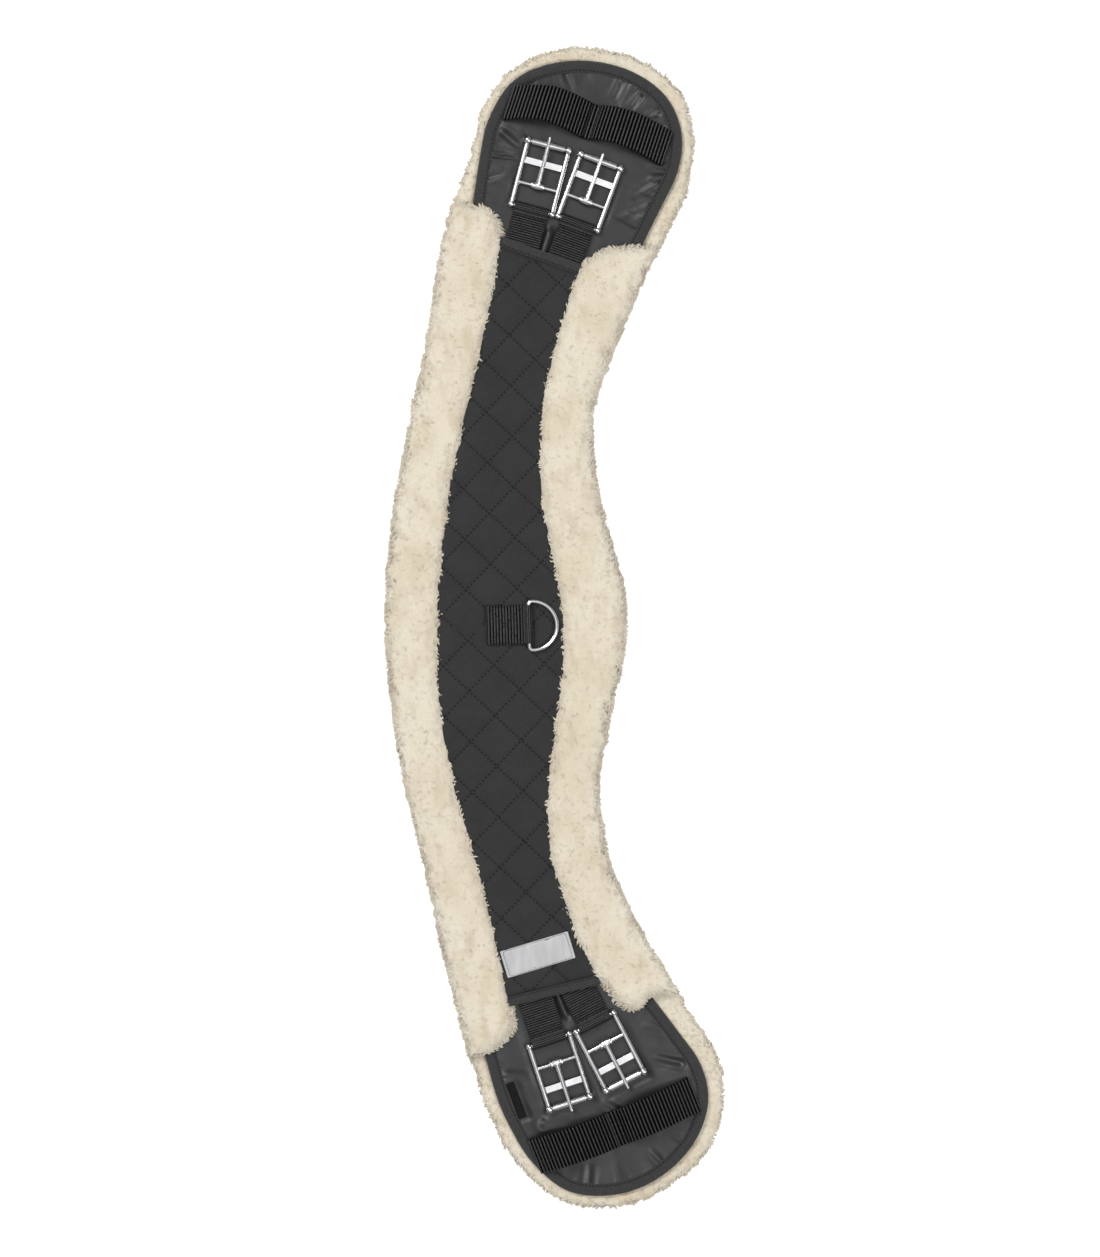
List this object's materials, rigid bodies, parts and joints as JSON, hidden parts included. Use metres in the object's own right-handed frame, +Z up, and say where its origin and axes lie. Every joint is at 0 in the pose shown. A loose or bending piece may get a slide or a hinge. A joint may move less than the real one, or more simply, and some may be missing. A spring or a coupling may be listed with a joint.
{
  "type": "saddle girth",
  "caption": "Curved saddle girth lined with cream fleece, with a quilted dark panel, a D-ring, and paired roller buckles on satin flaps at both ends.",
  "frame": {"origin": "centre of the outline in X and Y, on the surface that the fleece rests on", "axes": "+Z up through the girth from the fleece to the quilted panel, +Y along the girth towards its upper end, +X towards the side cut away for the elbows"},
  "size_m": [0.2337, 0.8383, 0.0257],
  "materials": {
    "fleece": "dense cream pile",
    "foam": "closed-cell foam",
    "quilted_fabric": "matt, diamond quilted",
    "satin": "soft sheen",
    "binding": "matt twill tape",
    "webbing": "ribbed, slight gloss",
    "elastic": "ribbed and box stitched",
    "steel": "polished",
    "label": "woven, stitched edge",
    "size_tag": "woven"
  },
  "bodies": {
    "centre": {"fleece_centre": "fleece", "padding_centre": "foam", "core_webbing_centre": "webbing", "quilted_panel_centre": "quilted_fabric", "fleece_roll_left_centre": "fleece", "fleece_roll_right_centre": "fleece", "d_ring_tab": "webbing"},
    "upper_end": {"fleece_upper": "fleece", "padding_upper": "foam", "core_webbing_upper": "webbing", "quilted_panel_upper": "quilted_fabric", "fleece_roll_left_upper": "fleece", "fleece_roll_right_upper": "fleece", "end_flap_upper": "satin", "flap_binding_upper": "binding", "panel_binding_upper": "binding", "keeper_upper": "webbing"},
    "lower_end": {"fleece_lower": "fleece", "padding_lower": "foam", "core_webbing_lower": "webbing", "quilted_panel_lower": "quilted_fabric", "fleece_roll_left_lower": "fleece", "fleece_roll_right_lower": "fleece", "end_flap_lower": "satin", "flap_binding_lower": "binding", "panel_binding_lower": "binding", "keeper_lower": "webbing", "label_patch": "label", "size_tag": "size_tag"},
    "d_ring": {"d_ring": "steel"},
    "elastic_upper_left": {"elastic_upper_left": "elastic"},
    "buckle_upper_left": {"buckle_frame_upper_left": "steel"},
    "tongue_upper_left": {"tongue_upper_left": "steel"},
    "roller_upper_left": {"roller_upper_left": "steel"},
    "elastic_upper_right": {"elastic_upper_right": "elastic"},
    "buckle_upper_right": {"buckle_frame_upper_right": "steel"},
    "tongue_upper_right": {"tongue_upper_right": "steel"},
    "roller_upper_right": {"roller_upper_right": "steel"},
    "elastic_lower_left": {"elastic_lower_left": "elastic"},
    "buckle_lower_left": {"buckle_frame_lower_left": "steel"},
    "tongue_lower_left": {"tongue_lower_left": "steel"},
    "roller_lower_left": {"roller_lower_left": "steel"},
    "elastic_lower_right": {"elastic_lower_right": "elastic"},
    "buckle_lower_right": {"buckle_frame_lower_right": "steel"},
    "tongue_lower_right": {"tongue_lower_right": "steel"},
    "roller_lower_right": {"roller_lower_right": "steel"}
  },
  "joints": [
    {"name": "bend_upper_end", "type": "hinge", "parent": "centre", "child": "upper_end", "pos_m": [-0.025, 0.16, 0.0242], "axis": [1, 0, 0], "range_deg": [0, 45]},
    {"name": "bend_lower_end", "type": "hinge", "parent": "centre", "child": "lower_end", "pos_m": [-0.03, -0.16, 0.0242], "axis": [-1, 0, 0], "range_deg": [0, 45]},
    {"name": "d_ring_swing", "type": "hinge", "parent": "centre", "child": "d_ring", "pos_m": [-0.0125, 0.001, 0.023], "axis": [0, -1, 0], "range_deg": [0, 165]},
    {"name": "elastic_stretch_upper_left", "type": "slide", "parent": "upper_end", "child": "elastic_upper_left", "axis": [0.284, 0.9588, 0], "range_m": [0, 0.004], "stiffness_N_per_m": 2000},
    {"name": "buckle_lift_upper_left", "type": "hinge", "parent": "elastic_upper_left", "child": "buckle_upper_left", "pos_m": [-0.0015, 0.30125, 0.01645], "axis": [0.9588, -0.284, 0], "range_deg": [0, 75]},
    {"name": "tongue_swing_upper_left", "type": "hinge", "parent": "buckle_upper_left", "child": "tongue_upper_left", "pos_m": [0.00333, 0.31755, 0.01645], "axis": [0.9588, -0.284, 0], "range_deg": [0, 120]},
    {"name": "roller_turn_upper_left", "type": "hinge", "parent": "buckle_upper_left", "child": "roller_upper_left", "pos_m": [0.01199, 0.34679, 0.01645], "axis": [0.9588, -0.284, 0], "continuous": true},
    {"name": "elastic_stretch_upper_right", "type": "slide", "parent": "upper_end", "child": "elastic_upper_right", "axis": [0.3746, 0.9272, 0], "range_m": [0, 0.004], "stiffness_N_per_m": 2000},
    {"name": "buckle_lift_upper_right", "type": "hinge", "parent": "elastic_upper_right", "child": "buckle_upper_right", "pos_m": [0.03147, 0.2901, 0.01645], "axis": [0.9272, -0.3746, 0], "range_deg": [0, 75]},
    {"name": "tongue_swing_upper_right", "type": "hinge", "parent": "buckle_upper_right", "child": "tongue_upper_right", "pos_m": [0.03784, 0.30586, 0.01645], "axis": [0.9272, -0.3746, 0], "range_deg": [0, 120]},
    {"name": "roller_turn_upper_right", "type": "hinge", "parent": "buckle_upper_right", "child": "roller_upper_right", "pos_m": [0.04927, 0.33414, 0.01645], "axis": [0.9272, -0.3746, 0], "continuous": true},
    {"name": "elastic_stretch_lower_left", "type": "slide", "parent": "lower_end", "child": "elastic_lower_left", "axis": [0.284, -0.9588, 0], "range_m": [0, 0.004], "stiffness_N_per_m": 2000},
    {"name": "buckle_lift_lower_left", "type": "hinge", "parent": "elastic_lower_left", "child": "buckle_lower_left", "pos_m": [-0.00701, -0.29835, 0.01645], "axis": [-0.9588, -0.284, 0], "range_deg": [0, 75]},
    {"name": "tongue_swing_lower_left", "type": "hinge", "parent": "buckle_lower_left", "child": "tongue_lower_left", "pos_m": [-0.00218, -0.31465, 0.01645], "axis": [-0.9588, -0.284, 0], "range_deg": [0, 120]},
    {"name": "roller_turn_lower_left", "type": "hinge", "parent": "buckle_lower_left", "child": "roller_lower_left", "pos_m": [0.00648, -0.34389, 0.01645], "axis": [0.9588, 0.284, 0], "continuous": true},
    {"name": "elastic_stretch_lower_right", "type": "slide", "parent": "lower_end", "child": "elastic_lower_right", "axis": [0.4305, -0.9026, 0], "range_m": [0, 0.004], "stiffness_N_per_m": 2000},
    {"name": "buckle_lift_lower_right", "type": "hinge", "parent": "elastic_lower_right", "child": "buckle_lower_right", "pos_m": [0.02629, -0.28634, 0.01645], "axis": [-0.9026, -0.4305, 0], "range_deg": [0, 75]},
    {"name": "tongue_swing_lower_right", "type": "hinge", "parent": "buckle_lower_right", "child": "tongue_lower_right", "pos_m": [0.03361, -0.30168, 0.01645], "axis": [-0.9026, -0.4305, 0], "range_deg": [0, 120]},
    {"name": "roller_turn_lower_right", "type": "hinge", "parent": "buckle_lower_right", "child": "roller_lower_right", "pos_m": [0.04673, -0.32921, 0.01645], "axis": [0.9026, 0.4305, 0], "continuous": true}
  ]
}
